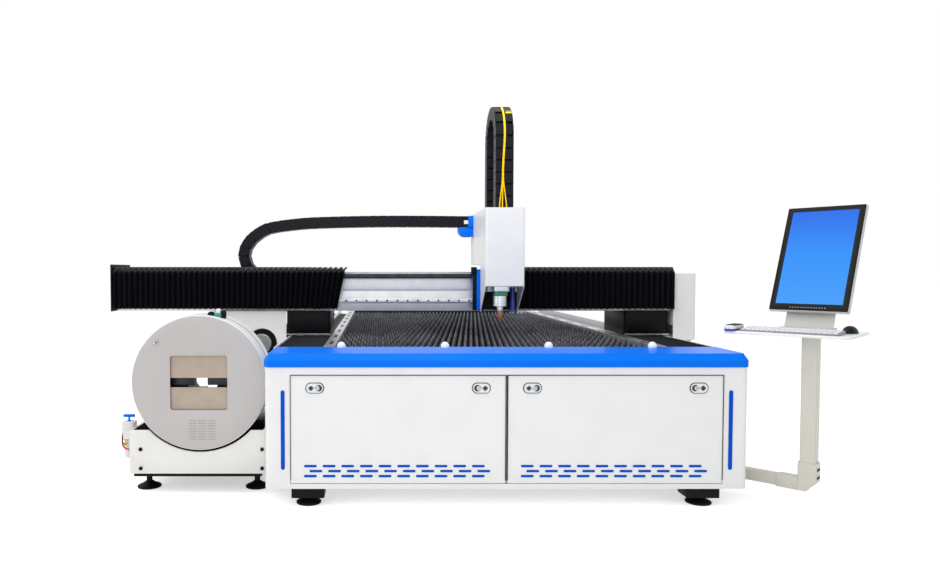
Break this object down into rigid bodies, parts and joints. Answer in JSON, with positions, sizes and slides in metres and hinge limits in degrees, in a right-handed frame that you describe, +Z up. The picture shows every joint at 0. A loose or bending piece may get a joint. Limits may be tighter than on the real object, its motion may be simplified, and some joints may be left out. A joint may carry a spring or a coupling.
{
  "type": "fiber laser cutting machine",
  "caption": "Flat-bed fiber laser cutter with slat table, travelling gantry, cutting head with upright cable chain, side tube chuck and a swing-arm console.",
  "frame": {"origin": "on the floor, under the middle of the whole machine's outline", "axes": "+X to the operator's right, +Y from the operator into the machine, +Z up"},
  "size_m": [3.8715, 4.512, 2.0257],
  "materials": {
    "white_paint": "satin powder coat",
    "blue_paint": "satin powder coat",
    "dark_steel": "oiled plate",
    "rail_steel": "ground",
    "aluminium": "anodised extrusion",
    "black_fabric": "coated cloth folds",
    "black_plastic": "moulded",
    "black_paint": "satin",
    "grey_paint": "satin",
    "chrome": "polished",
    "copper": "turned copper",
    "beige_paint": "satin",
    "yellow_jacket": "cable jacket",
    "screen_glass": "lit panel",
    "pale_plastic": "moulded",
    "blue_plastic": "moulded",
    "white_nylon": "ball units",
    "galvanised": "zinc sheet"
  },
  "bodies": {
    "bed": {"nose_cap": "blue_paint", "front_cabinet": "white_paint", "door_hinge_rod": "rail_steel", "side_strips": "blue_paint", "laser_source": "grey_paint", "electrics_panel": "galvanised", "bed_beams": "white_paint", "slat_rails": "dark_steel", "slats": "dark_steel", "scrap_tray": "galvanised", "ball_transfers": "white_nylon", "y_rails": "rail_steel", "way_covers": "black_fabric", "levelling_feet": "black_paint", "chuck_base": "white_paint", "chuck_housing": "white_paint", "chuck_cover": "grey_paint", "chuck_motor": "black_paint", "air_unit": "pale_plastic", "arm_bracket": "white_paint"},
    "left_door_leaf": {"left_door": "white_paint"},
    "right_door_leaf": {"right_door": "white_paint"},
    "left_inner_latch": {"left_door_inner_cam": "chrome"},
    "left_outer_latch": {"left_door_outer_cam": "chrome"},
    "right_inner_latch": {"right_door_inner_cam": "chrome"},
    "right_outer_latch": {"right_door_outer_cam": "chrome"},
    "gantry": {"gantry_beam": "aluminium", "x_rails": "rail_steel", "gantry_legs": "black_paint", "y_slide_blocks": "rail_steel", "y_motors": "black_paint", "left_end_cap": "black_plastic", "right_end_cover": "white_paint", "left_skirt": "white_paint", "beam_bellows": "black_fabric", "chain_trough": "galvanised", "x_chain": "black_plastic"},
    "head_carriage": {"carriage": "aluminium", "head_cover": "white_paint", "carriage_brackets": "blue_paint", "z_chain": "black_plastic", "fibre_lines": "yellow_jacket", "z_drive": "rail_steel"},
    "head": {"z_slide": "aluminium", "cutting_head": "aluminium", "nozzle": "copper"},
    "rotor": {"chuck_rotor": "rail_steel"},
    "jaw_above": {"upper_jaw": "beige_paint"},
    "jaw_below": {"lower_jaw": "beige_paint"},
    "jaw_at_left": {"left_jaw": "rail_steel"},
    "jaw_at_right": {"right_jaw": "rail_steel"},
    "console": {"console_stand": "white_paint", "console_tray": "white_paint", "monitor_stand": "grey_paint", "keyboard": "pale_plastic", "mouse": "black_plastic", "pendant": "black_plastic"},
    "display": {"monitor": "pale_plastic", "screen_panel": "screen_glass"},
    "lever": {"valve_lever": "blue_plastic"}
  },
  "joints": [
    {"name": "gantry_travel", "type": "slide", "parent": "bed", "child": "gantry", "axis": [0, 1, 0], "range_m": [-0.31, 2.69], "deforming": ["way_covers"]},
    {"name": "head_traverse", "type": "slide", "parent": "gantry", "child": "head_carriage", "axis": [1, 0, 0], "range_m": [-1.55, 0.59], "deforming": ["beam_bellows", "x_chain"]},
    {"name": "head_height", "type": "slide", "parent": "head_carriage", "child": "head", "axis": [0, 0, 1], "range_m": [-0.095, 0.02]},
    {"name": "chuck_spin", "type": "hinge", "parent": "bed", "child": "rotor", "pos_m": [-1.2487, -1.644, 0.54], "axis": [0, 1, 0], "continuous": true},
    {"name": "upper_jaw_slide", "type": "slide", "parent": "rotor", "child": "jaw_above", "axis": [0, 0, 1], "range_m": [-0.02, 0.06]},
    {"name": "lower_jaw_slide", "type": "slide", "parent": "rotor", "child": "jaw_below", "axis": [0, 0, -1], "range_m": [-0.02, 0.06]},
    {"name": "left_jaw_slide", "type": "slide", "parent": "rotor", "child": "jaw_at_left", "axis": [-1, 0, 0], "range_m": [-0.02, 0.06]},
    {"name": "right_jaw_slide", "type": "slide", "parent": "rotor", "child": "jaw_at_right", "axis": [1, 0, 0], "range_m": [-0.02, 0.06]},
    {"name": "left_door_drop", "type": "hinge", "parent": "bed", "child": "left_door_leaf", "pos_m": [0.1963, -1.982, 0.116], "axis": [1, 0, 0], "range_deg": [0, 90]},
    {"name": "right_door_drop", "type": "hinge", "parent": "bed", "child": "right_door_leaf", "pos_m": [0.1963, -1.982, 0.116], "axis": [1, 0, 0], "range_deg": [0, 90]},
    {"name": "left_inner_latch_turn", "type": "hinge", "parent": "left_door_leaf", "child": "left_inner_latch", "pos_m": [0.0973, -1.974, 0.546], "axis": [0, 1, 0], "range_deg": [0, 90]},
    {"name": "left_outer_latch_turn", "type": "hinge", "parent": "left_door_leaf", "child": "left_outer_latch", "pos_m": [-0.6927, -1.974, 0.546], "axis": [0, -1, 0], "range_deg": [0, 90]},
    {"name": "right_inner_latch_turn", "type": "hinge", "parent": "right_door_leaf", "child": "right_inner_latch", "pos_m": [0.2953, -1.974, 0.546], "axis": [0, -1, 0], "range_deg": [0, 90]},
    {"name": "right_outer_latch_turn", "type": "hinge", "parent": "right_door_leaf", "child": "right_outer_latch", "pos_m": [1.0853, -1.974, 0.546], "axis": [0, 1, 0], "range_deg": [0, 90]},
    {"name": "console_swing", "type": "hinge", "parent": "bed", "child": "console", "pos_m": [1.3454, -1.78662, 0.11], "axis": [0, 0, 1], "range_deg": [-15, 45]},
    {"name": "monitor_tilt", "type": "hinge", "parent": "console", "child": "display", "pos_m": [1.71208, -1.77892, 1.00097], "axis": [0.632, -0.7749, 0], "range_deg": [-12, 5]},
    {"name": "valve_turn", "type": "hinge", "parent": "bed", "child": "lever", "pos_m": [-1.6217, -1.694, 0.345], "axis": [0, 0, 1], "range_deg": [0, 90]}
  ],
  "couplings": [
    {"joint": "lower_jaw_slide", "follows": "upper_jaw_slide", "ratio": 1},
    {"joint": "right_jaw_slide", "follows": "left_jaw_slide", "ratio": 1}
  ]
}
